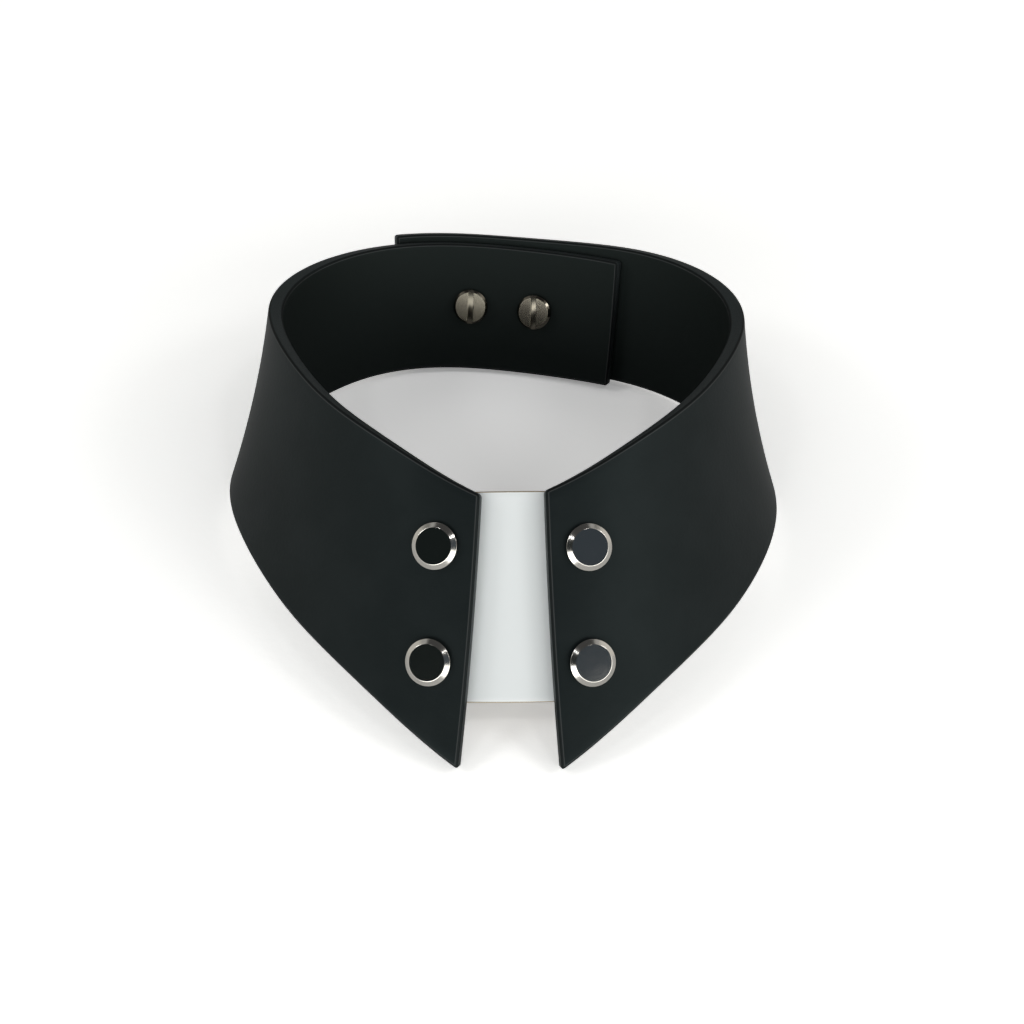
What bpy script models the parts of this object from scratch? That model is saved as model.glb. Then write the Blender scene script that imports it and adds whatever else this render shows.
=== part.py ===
"""A leather choker that stands by itself.

Two halves of thick black leather are bent into a ring. They are deep and pointed at the front, where a white
plate behind them joins them, and narrow at the back, where the left half's tail lies inside the right half's.
Posts with bevelled caps go through the layers from outside, and slotted screws hold them from inside.

Metres, +Z up. The front faces -Y, and the choker's left and right are the viewer's, who looks along +Y.
"""

import math
from collections import namedtuple

import bmesh
import bpy
import numpy as np
from mathutils import Matrix, Vector

MM = 0.001
NAME = "leather_choker"

# Thicknesses, and the gap that pieces which touch keep between them
LEATHER = 3.6 * MM
PLATE = 2.5 * MM
GAP = 0.3 * MM
BURNISHED_EDGE = 0.4 * MM

# The ring's plan, at the reference height. Its radius is the mean radius times one and the shares below, each
# with the cosine or the sine of its own multiple of the angle, which is 0 at the front and grows towards +X.
REFERENCE_HEIGHT = 22.0 * MM
MEAN_RADIUS = 63.4 * MM
Share = namedtuple("Share", "multiple cosine sine")
PLAN = (
    Share(1, 0.005, -0.038),
    Share(2, 0.002, 0.038),
    Share(3, 0.049, -0.011),
    Share(4, 0.006, 0.004),
)

# Flat leather bends along straight lines. Here they all meet in one point, high above the back, so the front
# leans back by 44 degrees and the back by 24.
APEX = np.array((4.1, 158.3, 242.8)) * MM

# Heights of the leather's edges on those lines, at some angles from the front, in millimetres
Edges = namedtuple("Edges", "angle left_top left_bottom right_top right_bottom")
EDGES = (
    Edges(0, 40.5, -1.3, 41.2, -1.6),
    Edges(25, 45.1, 7.9, 46.0, 8.5),
    Edges(50, 44.9, 9.1, 45.8, 9.2),
    Edges(80, 43.9, 7.9, 44.0, 7.0),
    Edges(110, 40.0, 3.0, 40.0, 3.6),
    Edges(145, 34.4, 1.3, 36.5, 2.5),
    Edges(180, 32.1, 0.0, 34.1, 0.9),
    Edges(215, 33.6, 2.0, 35.8, 3.2),
)

# The two halves: which side of the ring, which way the tail steps at the back, the angles where the front edge
# starts at the top corner and at the tip, those where the tail ends at the top and at the bottom, how deep the
# wall's side pulls in between its edges, and how far the tail's free end springs out
Half = namedtuple("Half", "name side step corner tip tail_top tail_bottom pull_in spring")
LEFT = Half("leather_left", -1, -1, 6.4, 8.4, 213.3, 207.2, 0.75 * MM, 0.0)
RIGHT = Half("leather_right", 1, 1, 6.2, 8.4, 210.7, 206.0, 0.9 * MM, 1.1 * MM)
FRONT_PULL_IN = 0.45 * MM
FRONT_EDGE_BULGE = 0.2  # degrees that the front edge bulges between its corner and its tip
STEP_START = 90.0       # degrees from the front where the tails begin to part
STEP_END = 145.0
SPRING_LENGTH = 30.0    # degrees over which the outer tail's end springs out

# The ring stands on its two tips and on the back's lower edge, which are worn flat by this much
WORN = 0.6 * MM
CENTRE = np.array((-2.65, -8.35)) * MM  # the middle of the plan, which goes to the origin

COLUMNS = 56  # along a half, from the front edge to the tail's end
ROWS = 6      # from the top edge to the bottom edge

# The white plate behind the front. It is a rectangle while it is flat, so its edges stay straight to the eye when
# it is bent: the angle where its middle lies, the heights of its edges there, its width, and how far it is turned.
PLATE_MIDDLE = 1.0  # degrees
PLATE_TOP = 42.9 * MM
PLATE_BOTTOM = 12.3 * MM
PLATE_WIDTH = 47.0 * MM
PLATE_TILT = 1.0    # degrees, with its right end up
FLAT_REACH = 30.0   # degrees on both sides of the front that are laid out flat for it
FLAT_STEPS = 600
PLATE_COLUMNS = 14
PLATE_ROWS = 4

# Screw posts and screws
CAP_RADIUS = 4.88 * MM
CAP_FLAT_RADIUS = 3.86 * MM
CAP_BEVEL = 0.65 * MM
CAP_HEIGHT = 1.2 * MM
BARREL_RADIUS = 2.5 * MM
BARREL_WALL = 0.6 * MM
BARREL_SHORTFALL = 0.6 * MM  # the barrel ends this far short of the stack's inner face
HEAD_RADIUS = 4.8 * MM
HEAD_FLAT_RADIUS = 4.17 * MM
HEAD_BEVEL = 0.63 * MM
HEAD_HEIGHT = 1.9 * MM
SLOT_WIDTH = 1.5 * MM
SLOT_DEPTH = 0.9 * MM
TURNED_STEPS = 24

Fastener = namedtuple("Fastener", "place half angle height slot_turn")
FASTENERS = (
    Fastener("front_left_upper", LEFT, 14.7, 33.3, 35.0),
    Fastener("front_left_lower", LEFT, 14.5, 16.55, -20.0),
    Fastener("front_right_upper", RIGHT, 14.35, 33.5, 62.0),
    Fastener("front_right_lower", RIGHT, 14.2, 16.9, 8.0),
    Fastener("back_left", RIGHT, 190.1, 16.8, 2.5),
    Fastener("back_right", RIGHT, 172.5, 16.8, -4.7),
)

Look = namedtuple("Look", "colour roughness metallic")
BLACK_LEATHER = Look((0.012, 0.013, 0.014), 0.55, 0.0)
WHITE_FACE = Look((0.80, 0.82, 0.83), 0.25, 0.0)
NICKEL = Look((0.72, 0.70, 0.66), 0.15, 1.0)


def smooth_step(share):
    share = np.clip(share, 0.0, 1.0)
    return share * share * (3.0 - 2.0 * share)


def smooth_curve(knots, values, at):
    """The natural cubic curve through the values at the knots: its bend at each inner knot follows from the
    slopes on both sides, and it is straight at both ends."""
    knots = np.asarray(knots, float)
    values = np.asarray(values, float)
    steps = np.diff(knots)
    slopes = np.diff(values) / steps
    count = len(knots)
    system = np.eye(count)
    right_side = np.zeros(count)
    for i in range(1, count - 1):
        system[i, i - 1:i + 2] = steps[i - 1], 2.0 * (steps[i - 1] + steps[i]), steps[i]
        right_side[i] = 6.0 * (slopes[i] - slopes[i - 1])
    bends = np.linalg.solve(system, right_side)
    at = np.asarray(at, float)
    cell = np.clip(np.searchsorted(knots, at) - 1, 0, count - 2)
    width = steps[cell]
    after = at - knots[cell]
    before = knots[cell + 1] - at
    curve = (bends[cell] * before**3 + bends[cell + 1] * after**3) / (6.0 * width)
    curve += (values[cell] / width - bends[cell] * width / 6.0) * before
    curve += (values[cell + 1] / width - bends[cell + 1] * width / 6.0) * after
    return curve


def edge_height(half, edge, angle):
    """Height of a half's top or bottom edge at these angles from the front."""
    column = ("left_" if half is LEFT else "right_") + edge
    knots = [row.angle for row in EDGES]
    heights = [getattr(row, column) for row in EDGES]
    return smooth_curve(knots, heights, angle) * MM


def plan_point(turn):
    """Point of the ring's plan at the reference height, for angles in radians that grow towards +X."""
    share = 1.0
    for term in PLAN:
        share = share + term.cosine * np.cos(term.multiple * turn) + term.sine * np.sin(term.multiple * turn)
    radius = MEAN_RADIUS * share
    return np.stack((radius * np.sin(turn), -radius * np.cos(turn), np.full_like(radius, REFERENCE_HEIGHT)), -1)


def cone_point(turn, height):
    """Point of the straight line from the plan to the apex at a height, and the way out from the ring there."""
    plan = plan_point(turn)
    share = (height - APEX[2]) / (REFERENCE_HEIGHT - APEX[2])
    point = APEX + (plan - APEX) * share[..., None]
    along = plan_point(turn + 1e-4) - plan
    outward = np.cross(along, APEX - plan)
    outward /= np.linalg.norm(outward, axis=-1, keepdims=True)
    return point, outward


def leather_point(half, angle, height, depth=0.0):
    """Point at a depth under a half's outer surface, and the way out. The outer surface is the cone, with its
    tail stepped out or in at the back and the wall's middle pulled in a little at the front and sides."""
    angle = np.asarray(angle, float)
    height = np.asarray(height, float)
    point, outward = cone_point(np.radians(angle) * half.side, height)
    step = smooth_step((angle - STEP_START) / (STEP_END - STEP_START))
    offset = half.step * (LEATHER + GAP) / 2.0 * step
    offset = offset + half.spring * np.clip((angle - 180.0) / SPRING_LENGTH, 0.0, 2.0) ** 2
    top = edge_height(half, "top", angle)
    bottom = edge_height(half, "bottom", angle)
    across = np.clip((top - height) / (top - bottom), 0.0, 1.0)
    side_share = np.clip(np.sin(np.radians(angle)), 0.0, 1.0) ** 2
    pull_in = (FRONT_PULL_IN + half.pull_in * side_share) * (1.0 - step)
    offset = offset - pull_in * 4.0 * across * (1.0 - across) - depth
    point = point + outward * offset[..., None]
    point = point - np.array((CENTRE[0], CENTRE[1], WORN))
    return point, outward


def half_grid(half, along, across):
    """Angle and height on a half: along is 0 at the front edge and 1 at the tail's end, across is 0 at the top
    edge and 1 at the bottom edge."""
    top_angle = half.corner + (half.tail_top - half.corner) * along
    bottom_angle = half.tip + (half.tail_bottom - half.tip) * along
    bulge = FRONT_EDGE_BULGE * 4.0 * across * (1.0 - across) * (1.0 - along) ** 4
    angle = top_angle * (1.0 - across) + bottom_angle * across - bulge
    top = edge_height(half, "top", top_angle)
    bottom = edge_height(half, "bottom", bottom_angle)
    return angle, top * (1.0 - across) + bottom * across


def flat_to_ring(sideways, away):
    """Angle and height on the ring of a point of the cone laid out flat. The point is given by how far it lies
    sideways from the line through the plate's middle, and how far along that line it is from the apex. Between
    two lines of the cone, the flat pattern has the angle that the lines themselves have."""
    turns = np.radians(np.linspace(-FLAT_REACH, FLAT_REACH, FLAT_STEPS + 1))
    lines = plan_point(turns) - APEX
    lengths = np.linalg.norm(lines, axis=1)
    directions = lines / lengths[:, None]
    flat_angles = np.cumsum(np.linalg.norm(np.diff(directions, axis=0), axis=1))
    flat_angles = np.concatenate(([0.0], flat_angles))
    flat_angles -= np.interp(np.radians(PLATE_MIDDLE), turns, flat_angles)
    turn = np.interp(np.arctan2(sideways, away), flat_angles, turns)
    drop = np.hypot(sideways, away) / np.interp(turn, turns, lengths) * (APEX[2] - REFERENCE_HEIGHT)
    return np.degrees(turn), APEX[2] - drop


def plate_grid(along, across):
    """Angle and height on the plate: along is 0 at its left end and 1 at its right end, across is 0 at its top."""
    middle_line = np.linalg.norm(plan_point(np.radians(np.array(PLATE_MIDDLE))) - APEX)
    away_per_height = middle_line / (APEX[2] - REFERENCE_HEIGHT)
    height = PLATE_TOP * (1.0 - across) + PLATE_BOTTOM * across
    sideways = PLATE_WIDTH * (along - 0.5)
    away = (APEX[2] - height) * away_per_height - sideways * math.tan(math.radians(PLATE_TILT))
    return flat_to_ring(sideways, away)


def add_to(collection, name, mesh):
    obj = bpy.data.objects.new(name, mesh)
    collection.objects.link(obj)
    return obj


def finish(obj, look):
    material = bpy.data.materials.new(obj.name + "_finish")
    material.use_nodes = True
    shader = material.node_tree.nodes["Principled BSDF"]
    shader.inputs["Base Color"].default_value = (*look.colour, 1.0)
    shader.inputs["Roughness"].default_value = look.roughness
    shader.inputs["Metallic"].default_value = look.metallic
    material.diffuse_color = (*look.colour, 1.0)
    obj.data.materials.clear()
    obj.data.materials.append(material)


def curved_sheet(collection, name, surface, columns, rows, thickness, faces_out):
    """An open grid laid on a surface, which Solidify thickens inwards and Bevel rounds at its cut edges.
    surface gives the points for along and across, both from 0 to 1."""
    mesh = bpy.data.meshes.new(name)
    grid = bmesh.new()
    bmesh.ops.create_grid(grid, x_segments=columns, y_segments=rows, size=0.5)
    along = np.array([vertex.co.x + 0.5 for vertex in grid.verts])
    across = np.array([0.5 - vertex.co.y for vertex in grid.verts])
    for vertex, point in zip(grid.verts, surface(along, across)):
        vertex.co = point
    if not faces_out:
        bmesh.ops.reverse_faces(grid, faces=grid.faces)
    grid.to_mesh(mesh)
    grid.free()
    obj = add_to(collection, name, mesh)
    thicken = obj.modifiers.new("thickness", "SOLIDIFY")
    thicken.thickness = thickness
    thicken.offset = -1.0
    thicken.use_even_offset = True
    rounding = obj.modifiers.new("burnished_edges", "BEVEL")
    rounding.limit_method = "ANGLE"
    rounding.angle_limit = math.radians(50.0)
    rounding.width = BURNISHED_EDGE
    rounding.segments = 1
    return obj


def cut(obj, cutter):
    modifier = obj.modifiers.new("cut_" + cutter.name, "BOOLEAN")
    modifier.operation = "DIFFERENCE"
    modifier.solver = "EXACT"
    modifier.object = cutter


def hide_cutter(obj):
    obj.hide_render = True
    obj.display_type = "WIRE"


def box_cutter(collection, name, size, placing):
    mesh = bpy.data.meshes.new(name)
    box = bmesh.new()
    bmesh.ops.create_cube(box, size=1.0, matrix=Matrix.Diagonal((*size, 1.0)))
    box.to_mesh(mesh)
    box.free()
    obj = add_to(collection, name, mesh)
    obj.matrix_world = placing
    hide_cutter(obj)
    return obj


def hole_cutter(collection, name, radius, depth, placing):
    mesh = bpy.data.meshes.new(name)
    rod = bmesh.new()
    bmesh.ops.create_cone(rod, cap_ends=True, segments=TURNED_STEPS, radius1=radius, radius2=radius, depth=depth)
    rod.to_mesh(mesh)
    rod.free()
    obj = add_to(collection, name, mesh)
    obj.matrix_world = placing
    hide_cutter(obj)
    return obj


def turned(collection, name, profile, placing):
    """A turned piece: a profile of radii and heights from the axis at the top, down its outer side, back to the
    axis at the bottom, turned about its own Z."""
    mesh = bpy.data.meshes.new(name)
    points = [(radius, 0.0, height) for radius, height in profile]
    mesh.from_pydata(points, [(i, i + 1) for i in range(len(points) - 1)], [])
    obj = add_to(collection, name, mesh)
    turn = obj.modifiers.new("turn", "SCREW")
    turn.axis = "Z"
    turn.angle = math.tau
    turn.screw_offset = 0.0
    turn.steps = TURNED_STEPS
    turn.render_steps = TURNED_STEPS
    turn.use_merge_vertices = True
    turn.merge_threshold = 0.00002
    turn.use_smooth_shade = True
    obj.matrix_world = placing
    return obj


def fastener_placing(fastener):
    """Where a fastener's axis leaves the outer leather: its Z points out, its Y up along the leather."""
    height = np.array(fastener.height * MM)
    point, outward = leather_point(fastener.half, fastener.angle, height)
    out = Vector(outward).normalized()
    right = Vector((0.0, 0.0, 1.0)).cross(out).normalized()
    up = out.cross(right)
    turning = Matrix((right, up, out)).transposed().to_4x4()
    return Matrix.Translation(Vector(point)) @ turning


def is_at_back(fastener):
    return fastener.angle > 90.0


def stack_depth(fastener):
    """From the outer leather's face to the inner face of the last layer."""
    return LEATHER + GAP + (LEATHER if is_at_back(fastener) else PLATE)


def seat(radius):
    """How far a flat face of this radius stands off, so that the bent leather under it stays clear."""
    return GAP + radius * radius / (2.0 * MEAN_RADIUS)


def post(collection, fastener):
    """A cap with a bevelled rim outside, and a hollow barrel that reaches through the layers."""
    base = seat(BARREL_RADIUS)
    top = base + CAP_HEIGHT
    end = BARREL_SHORTFALL - stack_depth(fastener)
    bore = BARREL_RADIUS - BARREL_WALL
    profile = (
        (0.0, top),
        (CAP_FLAT_RADIUS, top),
        (CAP_RADIUS, top - CAP_BEVEL),
        (CAP_RADIUS, base),
        (BARREL_RADIUS, base),
        (BARREL_RADIUS, end),
        (bore, end),
        (bore, base),
        (0.0, base),
    )
    obj = turned(collection, "post_" + fastener.place, profile, fastener_placing(fastener))
    finish(obj, NICKEL)
    return obj


def screw(parts, cutters, fastener):
    """A slotted head inside, and a shank up the post's barrel. Its own Z still points out of the choker."""
    base = -stack_depth(fastener) - seat(HEAD_RADIUS)
    top = base - HEAD_HEIGHT
    shank = BARREL_RADIUS - BARREL_WALL - GAP
    profile = (
        (0.0, -2.0 * GAP),
        (shank, -2.0 * GAP),
        (shank, base),
        (HEAD_RADIUS, base),
        (HEAD_RADIUS, top + HEAD_BEVEL),
        (HEAD_FLAT_RADIUS, top),
        (0.0, top),
    )
    placing = fastener_placing(fastener)
    obj = turned(parts, "screw_" + fastener.place, profile, placing)
    size = (SLOT_WIDTH, 3.0 * HEAD_RADIUS, 2.0 * SLOT_DEPTH)
    turn = Matrix.Rotation(math.radians(fastener.slot_turn), 4, "Z")
    slot_placing = placing @ Matrix.Translation((0.0, 0.0, top)) @ turn
    cut(obj, box_cutter(cutters, "slot_" + fastener.place, size, slot_placing))
    finish(obj, NICKEL)
    return obj


def leather_half(parts, half):
    def surface(along, across):
        return leather_point(half, *half_grid(half, along, across))[0]

    obj = curved_sheet(parts, half.name, surface, COLUMNS, ROWS, LEATHER, half.side > 0)
    finish(obj, BLACK_LEATHER)
    return obj


def front_plate(parts):
    """The plate follows the leather's inner face, so its points are the left half's and the right half's own,
    moved in, and it bends smoothly across the gap between them."""
    def surface(along, across):
        angle, height = plate_grid(along, across)
        depth = LEATHER + GAP
        left = leather_point(LEFT, -angle, height, depth)[0]
        right = leather_point(RIGHT, angle, height, depth)[0]
        return np.where((angle < 0.0)[:, None], left, right)

    obj = curved_sheet(parts, "front_plate", surface, PLATE_COLUMNS, PLATE_ROWS, PLATE, True)
    finish(obj, WHITE_FACE)
    return obj


def main():
    for obj in list(bpy.data.objects):
        bpy.data.objects.remove(obj, do_unlink=True)
    parts = bpy.data.collections.new(NAME)
    cutters = bpy.data.collections.new("cutters")
    for collection in (parts, cutters):
        bpy.context.scene.collection.children.link(collection)

    halves = {half.name: leather_half(parts, half) for half in (LEFT, RIGHT)}
    plate = front_plate(parts)

    for fastener in FASTENERS:
        post(parts, fastener)
        screw(parts, cutters, fastener)
        hole = hole_cutter(
            cutters,
            "hole_" + fastener.place,
            BARREL_RADIUS + GAP,
            6.0 * LEATHER,
            fastener_placing(fastener),
        )
        if is_at_back(fastener):
            layers = halves.values()
        else:
            layers = (halves[fastener.half.name], plate)
        for layer in layers:
            cut(layer, hole)

    below = Matrix.Translation((0.0, 0.0, -10.0 * MM))
    floor = box_cutter(cutters, "floor", (400.0 * MM, 400.0 * MM, 20.0 * MM), below)
    for layer in halves.values():
        cut(layer, floor)


main()
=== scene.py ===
# %% [markdown]
# # A leather choker that stands by itself
#
# Two halves of thick black leather make a ring for the neck. They are deep and pointed in front, where a
# white plate behind them joins them, and narrow at the back, where one half's tail lies inside the other's.
# Nickel screw posts hold the layers together. This notebook dresses the imported model: it rebuilds each
# piece with rounded edges and fine detail, gives it a finish made of nodes, and sets up the light and the
# camera.
#
# The first cell loads the imported model.

# %% Load the imported model
import math
from collections import namedtuple

import bmesh
import bpy
import numpy as np
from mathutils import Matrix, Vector


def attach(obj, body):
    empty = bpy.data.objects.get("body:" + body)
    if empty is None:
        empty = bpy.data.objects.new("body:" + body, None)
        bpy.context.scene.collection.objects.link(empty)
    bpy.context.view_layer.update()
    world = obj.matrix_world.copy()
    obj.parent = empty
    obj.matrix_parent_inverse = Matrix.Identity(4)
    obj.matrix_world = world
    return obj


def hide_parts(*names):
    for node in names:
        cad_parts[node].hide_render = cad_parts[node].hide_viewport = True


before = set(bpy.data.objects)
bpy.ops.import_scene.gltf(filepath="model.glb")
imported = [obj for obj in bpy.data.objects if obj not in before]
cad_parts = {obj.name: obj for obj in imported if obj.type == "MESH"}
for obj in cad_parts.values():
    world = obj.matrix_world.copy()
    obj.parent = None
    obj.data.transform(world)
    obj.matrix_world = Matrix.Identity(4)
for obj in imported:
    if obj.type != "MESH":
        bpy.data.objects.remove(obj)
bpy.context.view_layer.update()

print("solids", sorted(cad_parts))

# %% [markdown]
# ## The camera
#
# The photograph looks down on the choker from the front at 45 degrees, from only 27 cm away, so near parts
# look clearly larger than far ones. A camera at the same distance with the same lens gives the same
# perspective, and a longer lens from farther away wouldn't. The lens is given in pixels of the picture, and
# Blender wants it in millimetres of a 36 mm wide sensor.

# %% The camera
MM = 0.001
PICTURE_PIXELS = 1024
SENSOR_WIDTH = 36.0
LENS_PIXELS = 1096.2
CAMERA_PLACE = Vector((2.8, -198.1, 196.6)) * MM
CAMERA_TARGET = Vector((2.8, -6.1, 4.6)) * MM
NEAREST_SEEN = 5.0 * MM

camera_data = bpy.data.cameras.new("camera")
camera_data.sensor_width = SENSOR_WIDTH
camera_data.lens = LENS_PIXELS * SENSOR_WIDTH / PICTURE_PIXELS
camera_data.clip_start = NEAREST_SEEN
camera = bpy.data.objects.new("camera", camera_data)
camera.location = CAMERA_PLACE
camera.rotation_euler = (CAMERA_TARGET - CAMERA_PLACE).to_track_quat("-Z", "Y").to_euler()
bpy.context.scene.collection.objects.link(camera)
bpy.context.scene.camera = camera
print("lens", round(camera_data.lens, 2), "mm, at", tuple(round(x, 3) for x in camera.location))

# %% [markdown]
# ## The ring's plan and the lines that the leather bends along
#
# Flat leather bends along straight lines only. Here those lines all meet in one point, the apex, high up
# behind the choker, so the ring is a cone over an uneven plan: on the way up, the front leans back by 46
# degrees and the back by 24. The plan is a circle whose radius is changed by a few waves, which is how a
# bent strip settles between its screws. The numbers are the solid model's own, because the pieces made here
# have to lie where its solids are.

# %% The plan and the cone
LEATHER = 3.6 * MM
PLATE = 2.5 * MM
GAP = 0.3 * MM
REFERENCE_HEIGHT = 22.0 * MM
MEAN_RADIUS = 63.4 * MM
Wave = namedtuple("Wave", "multiple cosine sine")
PLAN = (Wave(1, 0.005, -0.038), Wave(2, 0.002, 0.038), Wave(3, 0.049, -0.011), Wave(4, 0.006, 0.004))
APEX = np.array((4.1, 158.3, 242.8)) * MM
CENTRE = np.array((-2.65, -8.35)) * MM
WORN = 0.6 * MM
SMALL_TURN = 1e-4
BACK = 180.0


def plan_point(turn):
    """Point of the plan for angles in radians, 0 in front and growing towards +X. The radius is the mean
    radius times one plus the waves, each a cosine and a sine of its own multiple of the angle."""
    share = 1.0
    for wave in PLAN:
        share = share + wave.cosine * np.cos(wave.multiple * turn) + wave.sine * np.sin(wave.multiple * turn)
    radius = MEAN_RADIUS * share
    height = np.full_like(radius, REFERENCE_HEIGHT)
    return np.stack((radius * np.sin(turn), -radius * np.cos(turn), height), -1)


def cone_point(turn, height):
    """Point at a height on the straight line from the plan to the apex, and the way out there, which is the
    cross product of the plan's own direction and the line's."""
    plan = plan_point(turn)
    share = (height - APEX[2]) / (REFERENCE_HEIGHT - APEX[2])
    outward = np.cross(plan_point(turn + SMALL_TURN) - plan, APEX - plan)
    outward /= np.linalg.norm(outward, axis=-1, keepdims=True)
    return APEX + (plan - APEX) * share[..., None], outward


def lean_at(angle):
    """How many degrees the way out points up at this angle: the arc sine of its upward part."""
    turn = np.radians(np.array([angle]))
    outward = cone_point(turn, np.array([REFERENCE_HEIGHT]))[1]
    return float(np.degrees(np.arcsin(outward[0, 2])))


print("way out points up by", round(lean_at(0.0)), "degrees in front,", round(lean_at(BACK)), "behind")

# %% [markdown]
# ## The two halves as surfaces
#
# Each half is cut with two curved edges. Their heights are given at eight angles, and a natural cubic curve
# runs through them, as a bent spline would when a pattern is drawn. On top of the cone come three small
# departures that the real leather shows: the tails step past each other at the back, each by half a
# thickness and half a gap, the outer tail's free end springs out, and the wall's middle pulls in between
# its edges.

# %% Edge heights and the two halves
Edges = namedtuple("Edges", "angle left_top left_bottom right_top right_bottom")
EDGES = (
    Edges(0, 40.5, -1.3, 41.2, -1.6),
    Edges(25, 45.1, 7.9, 46.0, 8.5),
    Edges(50, 44.9, 9.1, 45.8, 9.2),
    Edges(80, 43.9, 7.9, 44.0, 7.0),
    Edges(110, 40.0, 3.0, 40.0, 3.6),
    Edges(145, 34.4, 1.3, 36.5, 2.5),
    Edges(180, 32.1, 0.0, 34.1, 0.9),
    Edges(215, 33.6, 2.0, 35.8, 3.2),
)
Half = namedtuple("Half", "name side step corner tip tail_top tail_bottom pull_in spring")
LEFT = Half("left", -1, -1, 6.4, 8.4, 213.3, 207.2, 0.75 * MM, 0.0)
RIGHT = Half("right", 1, 1, 6.2, 8.4, 210.7, 206.0, 0.9 * MM, 1.1 * MM)
FRONT_PULL_IN = 0.45 * MM
FRONT_EDGE_BULGE = 0.2
STEP_START = 90.0
STEP_END = 145.0
SPRING_LENGTH = 30.0


def smooth_step(share):
    """0 below 0, 1 above 1, and three squares less two cubes of the share between them."""
    share = np.clip(share, 0.0, 1.0)
    return share * share * (3.0 - 2.0 * share)


def smooth_curve(knots, values, at):
    """The natural cubic curve through the values at the knots. The bends at the inner knots solve one
    equation each, where the slopes on both sides agree, and the bend is nothing at both ends."""
    knots, values, at = (np.asarray(numbers, float) for numbers in (knots, values, at))
    steps = np.diff(knots)
    slopes = np.diff(values) / steps
    system = np.diag(np.concatenate(([1.0], 2.0 * (steps[:-1] + steps[1:]), [1.0])))
    system += np.diag(np.concatenate(([0.0], steps[1:])), 1)
    system += np.diag(np.concatenate((steps[:-1], [0.0])), -1)
    bends = np.linalg.solve(system, np.concatenate(([0.0], 6.0 * np.diff(slopes), [0.0])))
    cell = np.clip(np.searchsorted(knots, at) - 1, 0, len(knots) - 2)
    width, after, before = steps[cell], at - knots[cell], knots[cell + 1] - at
    curve = (bends[cell] * before**3 + bends[cell + 1] * after**3) / (6.0 * width)
    curve += (values[cell] / width - bends[cell] * width / 6.0) * before
    return curve + (values[cell + 1] / width - bends[cell + 1] * width / 6.0) * after


def edge_height(half, edge, angle):
    """Height of a half's top or bottom edge at these angles from the front, along its own smooth curve."""
    heights = [getattr(row, half.name + "_" + edge) for row in EDGES]
    return smooth_curve([row.angle for row in EDGES], heights, angle) * MM


def leather_point(half, angle, height, depth=0.0):
    """Point at a depth under a half's outer face, and the way out: the cone's point, moved along the way
    out by the tail's step and spring, less the pull-in, a parabola from edge to edge, less the depth."""
    angle = np.asarray(angle, float)
    height = np.asarray(height, float)
    point, outward = cone_point(np.radians(angle) * half.side, height)
    step = smooth_step((angle - STEP_START) / (STEP_END - STEP_START))
    top = edge_height(half, "top", angle)
    bottom = edge_height(half, "bottom", angle)
    across = np.clip((top - height) / (top - bottom), 0.0, 1.0)
    side_share = np.clip(np.sin(np.radians(angle)), 0.0, 1.0) ** 2
    pull_in = (FRONT_PULL_IN + half.pull_in * side_share) * (1.0 - step)
    offset = half.step * (LEATHER + GAP) / 2.0 * step
    offset = offset + half.spring * np.maximum((angle - BACK) / SPRING_LENGTH, 0.0) ** 2
    offset = offset - pull_in * 4.0 * across * (1.0 - across) - depth
    return point + outward * offset[..., None] - np.array((CENTRE[0], CENTRE[1], WORN)), outward


def half_surface(half):
    """The half as a function of along, 0 at the front edge to 1 at the tail's end, across, 0 at the top
    edge to 1 at the bottom edge, and depth. The angles and the heights are mixed between the two edges by
    across."""
    def surface(along, across, depth):
        top_angle = half.corner + (half.tail_top - half.corner) * along
        bottom_angle = half.tip + (half.tail_bottom - half.tip) * along
        bulge = FRONT_EDGE_BULGE * 4.0 * across * (1.0 - across) * (1.0 - along) ** 4
        angle = top_angle * (1.0 - across) + bottom_angle * across - bulge
        top = edge_height(half, "top", top_angle)
        bottom = edge_height(half, "bottom", bottom_angle)
        return leather_point(half, angle, top * (1.0 - across) + bottom * across, depth)[0]
    return surface


one = np.ones(1)
for half in (LEFT, RIGHT):
    corner, tip = (half_surface(half)(0.0 * one, across * one, 0.0 * one)[0] / MM for across in (0.0, 1.0))
    print(half.name, "front corner", corner.round(1), "tip", tip.round(1), "mm")

# %% [markdown]
# ## A sheet of real leather: thick, with rounded arrises
#
# A grid with a Solidify modifier would give the thickness, and a Bevel the arrises, but the bevel's width
# then changes where the grid is skewed, as at the pointed tips. Here the whole skin is one net instead. Its
# rings run round the sheet's section, over the outer face, a rounded arris, the cut edge and the inner
# face, and its columns run from one end to the other. At both ends the rings draw in along a quarter
# circle, so the end edges get the same arris, and a strip of faces closes them.
#
# Two numbers go with every point for the finishes to read: facing is 1 on the outer face, -1 on the inner
# one and 0 on a cut edge, and depth is how many millimetres the point lies under the outer face.

# %% The rings and columns of a rounded sheet
END_STRIP_ANGLE = 15.0


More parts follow.
